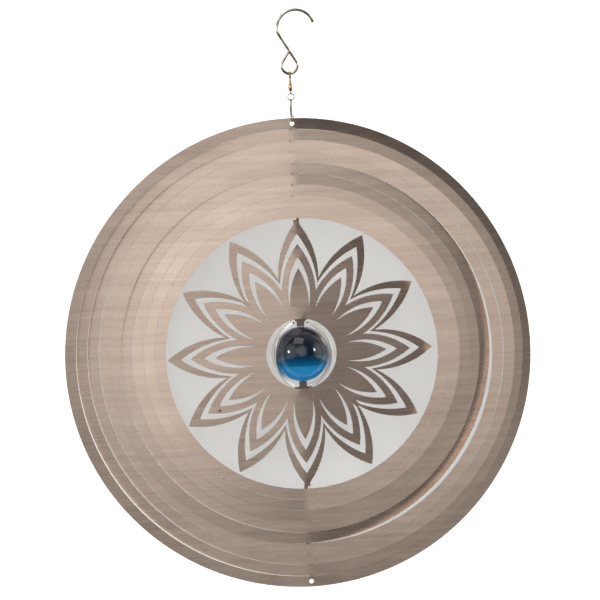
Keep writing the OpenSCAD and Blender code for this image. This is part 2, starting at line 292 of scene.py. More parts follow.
def sprung(leans, radius):
    """A bend that leans each half of a ring a little, more or less from bottom to top."""
    slopes = [math.tan(math.radians(a)) for a in leans]

    def bend(verts):
        x, z = verts[:, 0], verts[:, 2]
        up = np.clip(z / radius, -1, 1) / 2 + 0.5
        right = slopes[1] + (slopes[0] - slopes[1]) * up
        left = slopes[3] + (slopes[2] - slopes[3]) * up
        reach = np.sign(x) * x * x / (np.abs(x) + FOLD_W)
        verts[:, 1] += reach * np.where(x > 0, right, left)
        return verts

    return bend


for k in range(RING_COUNT):
    outer = edge_r[k] - (KERF / 2 if k else 0)
    inner = edge_r[k + 1] + (KERF / 2 if k < RING_COUNT - 1 else 0)
    loops = [circle(outer, RIM_POINTS), circle(inner, RIM_POINTS)]
    holes = [(0, side * (disc_r - HOLE_INSET)) for side in (1, -1)] if k == 0 else []
    loops += [circle(HOLE_R, 48, hole) for hole in holes]
    dots = np.concatenate([circle(inner + (outer - inner) * share, FACE_POINTS)
                           for share in (0.33, 0.67)])
    for hx, hz in holes:
        dots = dots[np.hypot(dots[:, 0] - hx, dots[:, 1] - hz) > HOLE_R + HOLE_CLEAR]

    def in_ring(x, z):
        r = np.hypot(x, z)
        metal = (r < outer) & (r > inner)
        for hx, hz in holes:
            metal &= np.hypot(x - hx, z - hz) > HOLE_R
        return metal

    band = cut_plate(f"steel_ring_{k + 1}", loops, in_ring, [sheet_steel, cut_edge],
                     sprung(RING_SPRING[k], outer), dots)
    place(band, RING_TURN[k], disc_height, f"ring_{k + 1}_body", "ring_sheet", f"ring_{k + 1}")

# --- The tabs: 4.5 mm of sheet left uncut between neighbouring rings at top and bottom. Turning
# the rings twists them, so each bends across the cut between its two rings.
TAB_W = 4.5
TAB_T = 0.44
TAB_HOLD = 1.0
TAB_STEP, TAB_LIP = 0.25, 0.03
FLOWER_TURN = 2.8
NECK_W = 3.8
NECK_JOIN = 0.2


def spun(verts, a):
    """Vertices turned about the Z axis by an angle, or by one angle each, in radians."""
    x, y = verts[:, 0].copy(), verts[:, 1].copy()
    verts[:, 0], verts[:, 1] = x * np.cos(a) - y * np.sin(a), x * np.sin(a) + y * np.cos(a)
    return verts


def twist_tab(name, width, far, near, turns, side, material):
    """A strip from radius far down to radius near, that turns from one angle to the other."""
    loop = rectangle(-width / 2, width / 2, near - TAB_HOLD, far + TAB_HOLD, TAB_STEP)
    loop[:, 1] *= side

    def twist(verts):
        depth = np.clip((far - verts[:, 2] * side) / (far - near), 0, 1)
        eased = depth * depth * (3 - 2 * depth)
        return spun(verts, np.radians(turns[0] + (turns[1] - turns[0]) * eased))

    tab = cut_plate(name, [loop], lambda x, z: np.ones(len(x), bool), [material, cut_edge],
                    twist, thick=TAB_T, lip=TAB_LIP)
    tab.matrix_world = Matrix.Translation((0, 0, disc_height))
    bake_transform(tab)


for k in range(1, RING_COUNT):
    for where, side in (("top", 1), ("bottom", -1)):
        twist_tab(f"tab_{k}_{k + 1}_{where}", TAB_W, edge_r[k] + KERF / 2, edge_r[k] - KERF / 2,
                  RING_TURN[k - 1:k + 1], side,
                  sheet_steel)
for where, side in (("top", 1), ("bottom", -1)):
    twist_tab(f"tab_9_border_{where}", NECK_W, inner_r, FLOWER_R + NECK_JOIN,
              (RING_TURN[-1], FLOWER_TURN), side, sheet_steel)

# --- The petal border: a zigzag band along the outside of all twelve petals, cut free of them but
# for two bridges, at upper left and lower right.
PETALS = 12
PETAL_A = 360 / PETALS
# Petal outlines: tip radius, notch radius, half angle at the tip
BORDER_OUT = (FLOWER_R, 49.5, 40.6)
BORDER_IN = (76.6, 46.4, 36.8)
PETAL_OUT = (70.1, 41.5, 38.7)
BRIDGE_W, STUB_W = 4, 2.8
BRIDGE_A = (135, 315)
BRIDGE_R = 46
SEAM = 0.02
NECK_ROOT = 0.6
PETAL_POINTS = 22
BORDER_SPRING = (-0.5, -3.5, -6, -6.5)


def petal_side(outline, half_angle, count):
    """Points along one side of a petal that points along +X, from its tip to its end."""
    tip, end_r, tip_angle = outline
    end = end_r * np.array([math.cos(math.radians(half_angle)),
                            math.sin(math.radians(half_angle))])
    chord = np.array([tip - end[0], end[1]])
    swing = math.radians(tip_angle) - math.atan2(chord[1], chord[0])
    r = np.linalg.norm(chord) / (2 * math.sin(swing))
    centre = np.array([tip - r * math.sin(math.radians(tip_angle)),
                       -r * math.cos(math.radians(tip_angle))])
    a0 = math.atan2(-centre[1], tip - centre[0])
    a1 = math.atan2(end[1] - centre[1], end[0] - centre[0])
    a = np.linspace(a0, a1, count)
    return np.stack([centre[0] + r * np.cos(a), centre[1] + r * np.sin(a)], 1)


def turned_by(points, degrees):
    """Points turned about the disc's centre."""
    a = math.radians(degrees)
    return points @ np.array([[math.cos(a), math.sin(a)], [-math.sin(a), math.cos(a)]])


def star(outline):
    """One closed outline round all the petals, from notch to tip to notch."""
    side = petal_side(outline, PETAL_A / 2, PETAL_POINTS)
    other = side * [1, -1]
    one = np.concatenate([other[::-1][:-1], side[:-1]])
    return np.concatenate([turned_by(one, 90 + i * PETAL_A) for i in range(PETALS)])


def any_of(loops):
    """A test for lying inside at least one outline."""
    return lambda x, z: np.logical_or.reduce([within(loop, x, z) for loop in loops])


outside, inside = star(BORDER_OUT), star(BORDER_IN)
necks = [rectangle(-NECK_W / 2, NECK_W / 2,
                   *sorted((s * (FLOWER_R - NECK_W), s * (FLOWER_R + NECK_ROOT))))
         for s in (1, -1)]
stubs = [turned_by(rectangle(BRIDGE_R + SEAM, BORDER_OUT[1], -STUB_W / 2, STUB_W / 2), a)
         for a in BRIDGE_A]
in_extra = any_of(necks + stubs)
border = cut_plate(
    "steel_petal_border", [outside, inside] + necks + stubs,
    lambda x, z: (within(outside, x, z) & ~within(inside, x, z)) | in_extra(x, z),
    [sheet_steel, cut_edge], sprung(BORDER_SPRING, FLOWER_R))
place(border, FLOWER_TURN, disc_height, "border_body", "flower_sheet", "petal_border")

# --- The flower: twelve petals in one plate round the ball's hole, each with a chevron slot. It
# keeps a pinhead of rust on the petal at eight o'clock.
CHEVRON_OUT = (61.6, 30, 34.4)
CHEVRON_IN = (54.8, 30, 31)
CHEVRON_A, CHEVRON_POINTS = 11, 18
BRIDGE_ROOT = 1
BALL_HOLE_R = 22.5
FLOWER_SPRING = (-3, -3.5, -8.5, -8)
RUST_AT = (-0.0533, 0.0072, -0.0337)

flower_steel = brushed_stainless("stainless_304_brushed_flower", "#D4C1B3", "#BDA89A", RUST_AT)
round_petals = star(PETAL_OUT)
bridges = [turned_by(rectangle(PETAL_OUT[1] - BRIDGE_ROOT, BRIDGE_R - SEAM,
                               -BRIDGE_W / 2, BRIDGE_W / 2), a) for a in BRIDGE_A]
leg_out, leg_in = (petal_side(outline, CHEVRON_A, CHEVRON_POINTS)
                   for outline in (CHEVRON_OUT, CHEVRON_IN))
chevron = np.concatenate([(leg_out * [1, -1])[::-1][:-1], leg_out[:-1],
                          leg_in[::-1][:-1], (leg_in * [1, -1])[:-1]])
chevrons = [turned_by(chevron, 90 + i * PETAL_A) for i in range(PETALS)]
ball_hole = circle(BALL_HOLE_R, 144)
in_bridge, in_slot = any_of(bridges), any_of(chevrons + [ball_hole])
flower = cut_plate(
    "steel_flower", [round_petals, ball_hole] + bridges + chevrons,
    lambda x, z: (within(round_petals, x, z) | in_bridge(x, z)) & ~in_slot(x, z),
    [flower_steel, cut_edge], sprung(FLOWER_SPRING, FLOWER_R))
place(flower, FLOWER_TURN, disc_height, "flower_body", "flower_sheet", "flower")

# --- The ball's cage: four spring arms cut from the same sheet, sprung apart so that two pass in
# front of the ball and two behind it, riveted to a tab above the ball and one below.
BALL_R = 17.5
ARM_W, ARM_TURN, ARM_ROOT, ARM_GAP = 2.0, 25.5, 4.8, 0.1
ARM_POINTS, ARM_LIP = 96, 0.08
NECK_HALF, FOOT_MORE, FOOT_H, CAGE_STEP = 2.5, 0.5, 1.6, 0.4
RIM_GAP = 0.04
RIVET_R, RIVET_H, RIVET_SUNK, RIVET_UP = 1.2, 0.5, 0.1, 0.2
RIVET_CROWN = 1.45


def polished_spring_steel():
    """301 spring stainless, tumbled: bright and softly blurred, with waviness a few mm long."""
    material, tree = new_material("stainless_301_tumbled_spring")
    here = add(tree, "TexCoord").outputs["Object"]
    wave = add(tree, "TexNoise", {"Vector": here, "Scale": 350, "Detail": 2})
    scuff = add(tree, "TexNoise", {"Vector": here, "Scale": 2600, "Detail": 3})
    rough = add(tree, "MapRange", {"Value": scuff.outputs["Fac"], "To Min": 0.26, "To Max": 0.4})
    tone = add(tree, "Mix", {0: scuff.outputs["Fac"], 6: linear("#D9D7D2"), 7: linear("#F0EEEA")},
               data_type="RGBA").outputs[2]
    relief = add(tree, "Bump", {"Strength": 0.3, "Distance": 0.0002,
                                "Height": wave.outputs["Fac"]})
    steel = add(tree, "BsdfPrincipled", {"Base Color": tone, "Metallic": 1.0,
                                         "Roughness": rough.outputs[0],
                                         "Normal": relief.outputs[0]})
    add(tree, "OutputMaterial", {"Surface": steel.outputs[0]})
    return material


spring_steel = polished_spring_steel()
off = ARM_ROOT * math.sin(math.radians(ARM_TURN))
reach = -ARM_ROOT * math.cos(math.radians(ARM_TURN)) + math.sqrt(BALL_R ** 2 - off ** 2)
reach += ARM_GAP + ARM_W / 2
half_h = BALL_HOLE_R - ARM_W
arm_mid = (reach * reach - half_h * half_h) / (2 * reach)
arm_r = reach - arm_mid
for side, lean, depth, hand in (
        (0, -ARM_TURN, "front", "right"), (0, ARM_TURN, "rear", "right"),
        (180, -ARM_TURN, "rear", "left"), (180, ARM_TURN, "front", "left")):
    name = f"cage_arm_{depth}_{hand}"
    rows = []
    for radius, order in ((arm_r + ARM_W / 2, 1), (arm_r - ARM_W / 2, -1)):
        top = math.acos(max(-1, -arm_mid / radius))
        a = np.linspace(-top, top, ARM_POINTS)[::order]
        rows.append(np.stack([arm_mid + radius * np.cos(a), radius * np.sin(a)], 1))
    loop = np.concatenate(rows)

    def swing(verts):
        verts = spun(verts, math.radians(lean))
        verts[:, 0] += ARM_ROOT
        return spun(verts, math.radians(side))

    arm = cut_plate(name, [loop], lambda x, z: within(loop, x, z),
                    [spring_steel, spring_steel], swing, lip=ARM_LIP)
    place(arm, FLOWER_TURN, disc_height, "flower_body", "cage_steel",
          *(["ball_cage"] if name == "cage_arm_front_right" else []))

for side, where in ((1, "top"), (-1, "bottom")):
    rim = BALL_HOLE_R - RIM_GAP
    neck = rectangle(-NECK_HALF, NECK_HALF, *sorted((side * (BALL_R + ARM_GAP), side * rim)),
                     CAGE_STEP)
    foot = rectangle(-ARM_ROOT - FOOT_MORE, ARM_ROOT + FOOT_MORE,
                     *sorted((side * (BALL_HOLE_R - FOOT_H), side * BALL_HOLE_R)), CAGE_STEP)

    def in_tab(x, z):
        r = np.hypot(x, z)
        return (within(neck, x, z) | within(foot, x, z)) & (r < rim) & (r > BALL_R + ARM_GAP)

    tab = cut_plate(f"cage_tab_{where}", [neck, foot, circle(rim, 144)], in_tab,
                    [sheet_steel, cut_edge])
    place(tab, FLOWER_TURN, disc_height, "flower_body", "cage_steel")


def turned_part(name, profile, materials, sides=48):
    """A part turned on a lathe about Z from (radius, height) points in mm, ends closed."""
    a = np.linspace(0, 2 * math.pi, sides, endpoint=False)
    verts, faces = [], []
    for r, z in profile:
        verts += [(r * math.cos(t), r * math.sin(t), z) for t in a]
    for i in range(len(profile) - 1):
        for j in range(sides):
            n = (j + 1) % sides
            faces.append((i * sides + j, i * sides + n, (i + 1) * sides + n, (i + 1) * sides + j))
    faces.append(tuple(range(sides))[::-1])
    faces.append(tuple((len(profile) - 1) * sides + j for j in range(sides)))
    return mesh_piece(name, verts, faces, materials)


dome = [(RIVET_R * math.cos(t), RIVET_H * math.sin(t)) for t in np.linspace(0, RIVET_CROWN, 9)]
head = [(RIVET_R, -RIVET_SUNK)] + dome
for x, hand in ((-ARM_ROOT, "left"), (ARM_ROOT, "right")):
    for z, where in ((1, "top"), (-1, "bottom")):
        for y, depth in ((-1, "front"), (1, "rear")):
            rivet = turned_part(f"rivet_{where}_{hand}_{depth}", head, [spring_steel], 32)
            spin = Matrix.Rotation(math.radians(FLOWER_TURN), 4, "Z")
            seat = Vector((x, y * SHEET_T / 2, z * (half_h + RIVET_UP))) * MM
            rivet.matrix_world = (Matrix.Translation((0, 0, disc_height)) @ spin
                                  @ Matrix.Translation(seat)
                                  @ Matrix.Rotation(math.radians(-90 * y), 4, "X"))
            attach(rivet, "flower_body")

# --- The glass ball: solid pressed glass, 35 mm, a domed pool of bright aqua glass cased in cobalt
# glass, fire-polished, with a small flat at each pole where the tabs hold it. The casing's tint is
# painted darker to navy towards the top, a painted shade, and the pool has a painted glow.


def cobalt_glass_painted_shade():
    """Soda-lime glass coloured with cobalt: a clear smooth casing whose tint is painted darker
    towards the top, a painted shade.
    """
    material, tree = new_material("soda_lime_glass_cobalt_painted_shade")
    here = add(tree, "TexCoord").outputs["Object"]
    parts = add(tree, "SeparateXYZ", {"Vector": here})
    swirl = add(tree, "TexNoise", {"Vector": here, "Scale": 60, "Detail": 1})
    # Painted shade: the tint runs from pale aqua below to navy above, its edge made uneven by the
    # swirl.
    height = add(tree, "Math", {0: swirl.outputs["Fac"], 1: 0.002, 2: parts.outputs["Z"]},
                 operation="MULTIPLY_ADD")
    step = add(tree, "MapRange", {"Value": height.outputs[0], "From Min": -0.009,
                                  "From Max": 0.002}, interpolation_type="SMOOTHSTEP")
    tone = add(tree, "Mix", {0: step.outputs[0], 6: linear("#A8E0F2"), 7: linear("#03122A")},
               data_type="RGBA").outputs[2]
    ripple = add(tree, "Bump", {"Strength": 0.05, "Distance": 0.0003,
                                "Height": swirl.outputs["Fac"]})
    glass = add(tree, "BsdfPrincipled", {"Base Color": tone, "Roughness": 0.02, "IOR": 1.5,
                                         "Specular IOR Level": 0.06, "Transmission Weight": 1.0,
                                         "Normal": ripple.outputs[0]})
    add(tree, "OutputMaterial", {"Surface": glass.outputs[0]})
    return material


POLE_FLAT = 0.09
poles = np.linspace(-math.pi / 2 + POLE_FLAT, math.pi / 2 - POLE_FLAT, 95)
ball_profile = [(BALL_R * math.cos(t), BALL_R * math.sin(t)) for t in poles]
ball = turned_part("glass_ball_blue", ball_profile, [cobalt_glass_painted_shade()], 144)
place(ball, FLOWER_TURN, disc_height, "ball", "ball_glass", "glass_ball")


def aqua_glass():
    """Opal soda-lime glass, aqua: light spreads a little way into it before it comes back, and it
    has a painted glow of its own colour.
    """
    material, tree = new_material("soda_lime_glass_opal_aqua_painted_glow")
    here = add(tree, "TexCoord").outputs["Object"]
    cloud = add(tree, "TexNoise", {"Vector": here, "Scale": 110, "Detail": 2})
    tone = add(tree, "Mix", {0: cloud.outputs["Fac"], 6: linear("#0E82B4"), 7: linear("#2A9FCC")},
               data_type="RGBA").outputs[2]
    # Painted glow: the pool gives off light of its own colour, as if lit through the glass.
    glass = add(tree, "BsdfPrincipled", {"Base Color": tone, "Roughness": 0.3,
                                         "Subsurface Weight": 0.3, "Subsurface Scale": 0.004,
                                         "Emission Color": tone, "Emission Strength": 0.25})
    add(tree, "OutputMaterial", {"Surface": glass.outputs[0]})
    return material


CORE_R, CORE_TOP, CORE_EDGE, CORE_FLAT = 16.6, -1, -6.5, 0.02
dip = math.asin(CORE_EDGE / CORE_R)
core_profile = [(CORE_R * math.cos(t), CORE_R * math.sin(t))
                for t in np.linspace(-math.pi / 2 + CORE_FLAT, dip, 48)]
rim_r = core_profile[-1][0]
core_profile += [(rim_r * f, CORE_EDGE + (CORE_TOP - CORE_EDGE) * (1 - f * f))
                 for f in np.linspace(1, 0.01, 32)[1:]]
core = turned_part("glass_ball_core", core_profile, [aqua_glass()], 96)
place(core, FLOWER_TURN, disc_height, "ball", "ball_glass")

# --- The hook: 1.9 mm nickel-plated wire, bent to a wide open hook whose shank runs down aslant to
# a small loop. The loop's free end is cut square and lies against the shank.
WIRE_R = 0.95
HOOK_R, HOOK_OFFSET, HOOK_DROP = 11.85, 4.85, 23.3
LOOP_R, ELBOW_R = 5.0, 4.0
TIP_A, BEND_END_A, FREE_END = 18, 187, 0.62
FREE_SHORT = 0.93


def wire_steel(name, bright, dull, rough_low, rough_high):
    """Drawn steel wire, nickel-plated or bare: bright, with drawing marks 0.3 mm long and dull
    patches where hands and other wires have rubbed it."""
    material, tree = new_material(name)
    here = add(tree, "TexCoord").outputs["Object"]
    marks = add(tree, "TexNoise", {"Vector": here, "Scale": 3000, "Detail": 2})
    patches = add(tree, "TexNoise", {"Vector": here, "Scale": 260, "Detail": 3})
    worn = add(tree, "MapRange", {"Value": patches.outputs["Fac"], "From Min": 0.4,
                                  "From Max": 0.65})
    tone = add(tree, "Mix", {0: worn.outputs[0], 6: linear(bright), 7: linear(dull)},
               data_type="RGBA").outputs[2]
    rough = add(tree, "MapRange", {"Value": marks.outputs["Fac"], "To Min": rough_low,
                                   "To Max": rough_high})
    relief = add(tree, "Bump", {"Strength": 0.25, "Distance": 0.00004,
                                "Height": marks.outputs["Fac"]})
    metal = add(tree, "BsdfPrincipled", {"Base Color": tone, "Metallic": 1.0,
                                         "Roughness": rough.outputs[0],
                                         "Normal": relief.outputs[0]})
    add(tree, "OutputMaterial", {"Surface": metal.outputs[0]})
    return material


def drawn_wire(name, path, radius, materials, closed=False, sides=20):
    """Round wire along a path in mm. Open ends are cut square with an eased edge."""
    path = [Vector(p) for p in path]
    radii = [radius] * len(path)
    if not closed:
        for end, step in ((0, 1), (-1, -1)):
            out = (path[end] - path[end + step]).normalized()
            ease = [(path[end] + out * radius * far, radius * wide)
                    for far, wide in ((0.12, 0.97), (0.2, 0.85), (0.24, 0.6))]
            for point, r in ease:
                path.insert(0 if end == 0 else len(path), point)
                radii.insert(0 if end == 0 else len(radii), r)
    count = len(path)
    runs = []
    for i in range(count):
        after = path[(i + 1) % count] if closed or i < count - 1 else path[i]
        before = path[i - 1] if closed or i else path[i]
        runs.append((after - before).normalized())
    across = runs[0].orthogonal().normalized()
    verts, faces = [], []
    for i, run in enumerate(runs):
        across = (across - run * across.dot(run)).normalized()
        other = run.cross(across)
        for j in range(sides):
            t = 2 * math.pi * j / sides
            verts.append(path[i] + (across * math.cos(t) + other * math.sin(t)) * radii[i])
    for i in range(count if closed else count - 1):
        n = (i + 1) % count
        for j in range(sides):
            m = (j + 1) % sides
            faces.append((i * sides + j, i * sides + m, n * sides + m, n * sides + j))
    if not closed:
        faces.append(tuple(range(sides))[::-1])
        faces.append(tuple((count - 1) * sides + j for j in range(sides)))
    return mesh_piece(name, verts, faces, materials)


def arc(centre, r, a0, a1, steps=48):
    """Points in the XZ plane round a centre, between two angles in degrees."""
    return [(centre[0] + r * math.cos(t), 0, centre[1] + r * math.sin(t))
            for t in np.radians(np.linspace(a0, a1, steps))]


def straight(start, end, shares):
    """Points in the XZ plane at shares of the way from start to end."""
    return [(x, 0, z) for x, z in (start + (end - start) * share for share in shares)]


nickel = wire_steel("steel_wire_nickel_plated", "#C4BEB2", "#8A8275", 0.12, 0.3)
bend_z = -math.sqrt((HOOK_R - WIRE_R) ** 2 - HOOK_OFFSET ** 2)
loop_z = bend_z - HOOK_DROP
end_v = np.array([math.cos(math.radians(BEND_END_A)), math.sin(math.radians(BEND_END_A))])
elbow = np.array([HOOK_OFFSET, bend_z]) + (HOOK_R - ELBOW_R) * end_v
loop_mid = np.array([0, loop_z])
run = loop_mid - elbow
lean = math.degrees(math.atan2(run[0], -run[1])
                    + math.asin((ELBOW_R + LOOP_R) / np.linalg.norm(run)))
lean_v = np.array([math.cos(math.radians(lean)), math.sin(math.radians(lean))])
shank_top, shank_end = elbow - ELBOW_R * lean_v, loop_mid + LOOP_R * lean_v
free = shank_top + (shank_end - shank_top) * FREE_END
back = loop_mid - free
back_a = math.degrees(math.asin(LOOP_R / np.linalg.norm(back)) - math.atan2(back[0], -back[1]))
hook_path = arc((HOOK_OFFSET, bend_z), HOOK_R, TIP_A, BEND_END_A, 90)
hook_path += arc(elbow, ELBOW_R, BEND_END_A, 180 + lean, 16)[1:]
hook_path += straight(shank_top, shank_end, np.linspace(0, 1, 24)[1:-1])
hook_path += arc((0, loop_z), LOOP_R, lean, -180 - back_a, 64)
loop_left = np.array([hook_path[-1][0], hook_path[-1][2]])
hook_path += straight(loop_left, free, np.linspace(0, FREE_SHORT, 16)[1:])
hook = drawn_wire("wire_hook", hook_path, WIRE_R, [nickel], sides=28)
place(hook, 0, 0, "hook", "hook_wire", "hook")

# --- The barrel swivel: brass, as sold for fishing tackle. A crimped barrel holds the heads of two
# wire eyes, which turn freely in it.
EYE_WIRE_R = 0.4
STEM_R = 0.45
HEAD_R, HEAD_EDGE_R, HEAD_H, SHOULDER = 0.75, 0.8, 0.65, 0.05
BARREL_R = 1.4
# Radius as a share of the barrel's, at shares of its height from one end to near the middle
BARREL_HALF = ((0.45, 0), (0.62, 0.01), (0.68, 0.05), (0.7, 0.13), (0.78, 0.17), (0.93, 0.22),
               (0.99, 0.3), (1, 0.4))


def tarnished_brass(name, bright, dull):
    """Cartridge brass, lacquer worn off: golden, browner where it has tarnished."""
    material, tree = new_material(name)
    here = add(tree, "TexCoord").outputs["Object"]
    patches = add(tree, "TexNoise", {"Vector": here, "Scale": 900, "Detail": 3})
    worn = add(tree, "MapRange", {"Value": patches.outputs["Fac"], "From Min": 0.4,
                                  "From Max": 0.62})
    tone = add(tree, "Mix", {0: worn.outputs[0], 6: linear(bright), 7: linear(dull)},
               data_type="RGBA").outputs[2]
    rough = add(tree, "MapRange", {"Value": worn.outputs[0], "To Min": 0.16, "To Max": 0.4})
    relief = add(tree, "Bump", {"Strength": 0.2, "Distance": 0.00005,
                                "Height": patches.outputs["Fac"]})
    metal = add(tree, "BsdfPrincipled", {"Base Color": tone, "Metallic": 1.0,
                                         "Roughness": rough.outputs[0],
                                         "Normal": relief.outputs[0]})
    add(tree, "OutputMaterial", {"Surface": metal.outputs[0]})
    return material


brass = tarnished_brass("brass_tarnished", "#C9A367", "#7A5A36")
low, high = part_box("swivel_upper_eye")
eye_top, stem_low = high.z / MM, low.z / MM
eye_r = (high.y - low.y) / 2 / MM - EYE_WIRE_R
eye_mid = eye_top - EYE_WIRE_R - eye_r
upright = [(0, x, z) for x, _, z in arc((0, eye_mid), eye_r, 0, 360, 65)[:-1]]
eye = drawn_wire("swivel_eye_upper", upright, EYE_WIRE_R, [brass], closed=True)
place(eye, 0, 0, "upper_eye", "swivel_brass", "swivel_upper_eye")
low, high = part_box("swivel_barrel")
barrel_low, barrel_top = low.z / MM, high.z / MM
neck_z = eye_mid - eye_r
stem = turned_part("swivel_stem_upper", [
    (HEAD_R, stem_low), (HEAD_EDGE_R, stem_low + HEAD_H),
    (STEM_R, stem_low + HEAD_H + SHOULDER),
    (STEM_R, barrel_top + 0.2), (0.62, barrel_top + 0.35), (0.66, barrel_top + 0.7),
    (0.52, barrel_top + 0.95), (0.6, barrel_top + 1.25), (0.66, barrel_top + 1.6),
    (0.56, neck_z - 0.1), (0.42, neck_z + 0.2)], [brass], 32)
place(stem, 0, 0, "upper_eye", "swivel_brass")
size = barrel_top - barrel_low
other_half = [(r, 1 - up) for r, up in BARREL_HALF[::-1]]
barrel = turned_part("swivel_barrel_brass", [
    (r * BARREL_R, barrel_low + size * up) for r, up in (*BARREL_HALF, *other_half)], [brass])
place(barrel, 0, 0, "barrel", "swivel_brass", "swivel_barrel")

# --- The swivel's lower eye: the same wire in bare grey steel, with its stem's head in the barrel.
grey_wire = wire_steel("steel_wire_bare", "#B9B5AE", "#86817A", 0.2, 0.36)
low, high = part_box("swivel_lower_eye")
eye_r = (high.x - low.x) / 2 / MM - EYE_WIRE_R
eye_mid = low.z / MM + EYE_WIRE_R + eye_r
eye = drawn_wire("swivel_eye_lower", arc((0, eye_mid), eye_r, 0, 360, 65)[:-1], EYE_WIRE_R,
                 [grey_wire], closed=True)
place(eye, 0, 0, "lower_eye", "snap_steel", "swivel_lower_eye")
neck_z, stem_top = eye_mid + eye_r, high.z / MM
stem = turned_part("swivel_stem_lower", [
    (0.42, neck_z - 0.2), (0.56, neck_z + 0.1), (0.64, barrel_low - 0.55),
    (0.6, barrel_low - 0.3), (STEM_R, barrel_low - 0.15), (STEM_R, stem_top - HEAD_H - SHOULDER),
    (HEAD_EDGE_R, stem_top - HEAD_H), (HEAD_R, stem_top)], [grey_wire], 32)
place(stem, 0, 0, "lower_eye", "snap_steel")

# --- The snap: a long bight of spring wire that hangs on the lower eye and passes through the
# hole in the disc. A folded clasp is crimped on its rear leg, and a wire gate closes the front.
SNAP_WIRE_R, GATE_WIRE_R, PIN_R = 0.4, 0.35, 0.2
STUB_GAP, FOOT_GAP = 0.3, 0.35
GATE_FROM, GATE_SHORT = 0.5, 0.1
CHEEK_DOWN, CHEEK_UP = 0.6, 0.5
SECTION = 32
CHEEK_HALF, CHEEK_T, CHEEK_X, CHEEK_LIP, CHEEK_STEP = 0.5, 0.4, 0.75, 0.08, 0.15
# The clasp's width at each share of half its height, narrow at its ends and at its waist
CLASP_LEVELS = ((-1, 0.72), (-0.94, 0.96), (-0.6, 1), (-0.1, 1), (-0.04, 0.86), (0.04, 0.86),
                (0.1, 1), (0.6, 1), (0.94, 0.96), (1, 0.72))
low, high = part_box("snap_wire")
snap_top, snap_low = high.z / MM - SNAP_WIRE_R, low.z / MM + SNAP_WIRE_R
snap_r = high.y / MM - SNAP_WIRE_R
gate_low, gate_high = (c.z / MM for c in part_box("snap_gate"))
upper = [(0, x, z) for x, _, z in arc((0, snap_top - snap_r), snap_r, 180, 0, 40)]
lower = [(0, x, z) for x, _, z in arc((0, snap_low + snap_r), snap_r, 0, -180, 40)]
leg = [(0, snap_r, z) for z in np.linspace(snap_top - snap_r, snap_low + snap_r, 22)[1:-1]]
stub = [(0, -snap_r, z) for z in np.linspace(gate_high + STUB_GAP, snap_top - snap_r, 6)[:-1]]
foot = [(0, -snap_r, z) for z in np.linspace(snap_low + snap_r, gate_low - FOOT_GAP, 4)[1:]]
snap = drawn_wire("snap_bight", stub + upper + leg + lower + foot, SNAP_WIRE_R, [grey_wire])
place(snap, 0, 0, "snap", "snap_steel", "snap_wire", "gate_pin")


def folded_steel():
    """Blackened steel strip, folded and crimped: dark, with the black rubbed off in small patches.
    """
    material, tree = new_material("steel_strip_blackened")
    here = add(tree, "TexCoord").outputs["Object"]
    rub = add(tree, "TexNoise", {"Vector": here, "Scale": 1500, "Detail": 3})
    tone = add(tree, "Mix", {0: rub.outputs["Fac"], 6: linear("#4C4742"), 7: linear("#8D857B")},
               data_type="RGBA").outputs[2]
    rough = add(tree, "MapRange", {"Value": rub.outputs["Fac"], "To Min": 0.28, "To Max": 0.46})
    relief = add(tree, "Bump", {"Strength": 0.3, "Distance": 0.00004,
                                "Height": rub.outputs["Fac"]})
    metal = add(tree, "BsdfPrincipled", {"Base Color": tone, "Metallic": 1.0,
                                         "Roughness": rough.outputs[0],
                                         "Normal": relief.outputs[0]})
    add(tree, "OutputMaterial", {"Surface": metal.outputs[0]})
    return material


def squarish(wave):
    """A cosine or sine flattened, so that a circle becomes a square with round corners."""
    return np.copysign(np.abs(wave) ** 0.5, wave)


dark_steel = folded_steel()
low, high = (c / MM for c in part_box("snap_clasp"))
half_w, clasp_y, clasp_mid = (high.x - low.x) / 2, (low.y + high.y) / 2, (low.z + high.z) / 2
depth, tall = (high.y - low.y) / 2, (high.z - low.z) / 2
t = np.linspace(0, 2 * math.pi, SECTION, endpoint=False)
section = np.stack([half_w * squarish(np.cos(t)), depth * squarish(np.sin(t))], 1)
verts, faces = [], []
for up, wide in CLASP_LEVELS:
    verts += [(x * wide, clasp_y + y * wide, clasp_mid + up * tall) for x, y in section]
for i in range(0, len(verts) - SECTION, SECTION):
    for j in range(SECTION):
        m = (j + 1) % SECTION
        faces.append((i + j, i + m, i + SECTION + m, i + SECTION + j))
faces += [tuple(range(SECTION))[::-1], tuple(range(len(verts) - SECTION, len(verts)))]
clasp = mesh_piece("snap_clasp_folded", verts, faces, [dark_steel])
place(clasp, 0, 0, "snap", "clasp_steel", "snap_clasp")

gate_path = [(0, -snap_r, z)
             for z in np.linspace(gate_low + GATE_FROM, gate_high - GATE_SHORT, 12)]
gate = drawn_wire("snap_gate_wire", gate_path, GATE_WIRE_R, [grey_wire])
place(gate, 0, 0, "gate", "snap_steel", "snap_gate")
low, high = (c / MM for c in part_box("gate_pin"))
pin_z = (low.z + high.z) / 2
pin = drawn_wire("snap_gate_pin", [(x, -snap_r, pin_z) for x in np.linspace(low.x, high.x, 6)],
                 PIN_R, [grey_wire])
place(pin, 0, 0, "snap", "snap_steel")
for side, hand in ((-1, "left"), (1, "right")):
    ear = rectangle(-CHEEK_HALF, CHEEK_HALF, gate_low - CHEEK_DOWN, pin_z + CHEEK_UP, CHEEK_STEP)
    cheek = cut_plate(f"snap_fork_{hand}", [ear], lambda x, z: within(ear, x, z),
                      [grey_wire, grey_wire], thick=CHEEK_T, lip=CHEEK_LIP)
    cheek.matrix_world = Matrix.Translation(
        (side * CHEEK_X * MM, -snap_r * MM, 0)) @ Matrix.Rotation(math.pi / 2, 4, "Z")
    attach(cheek, "snap")

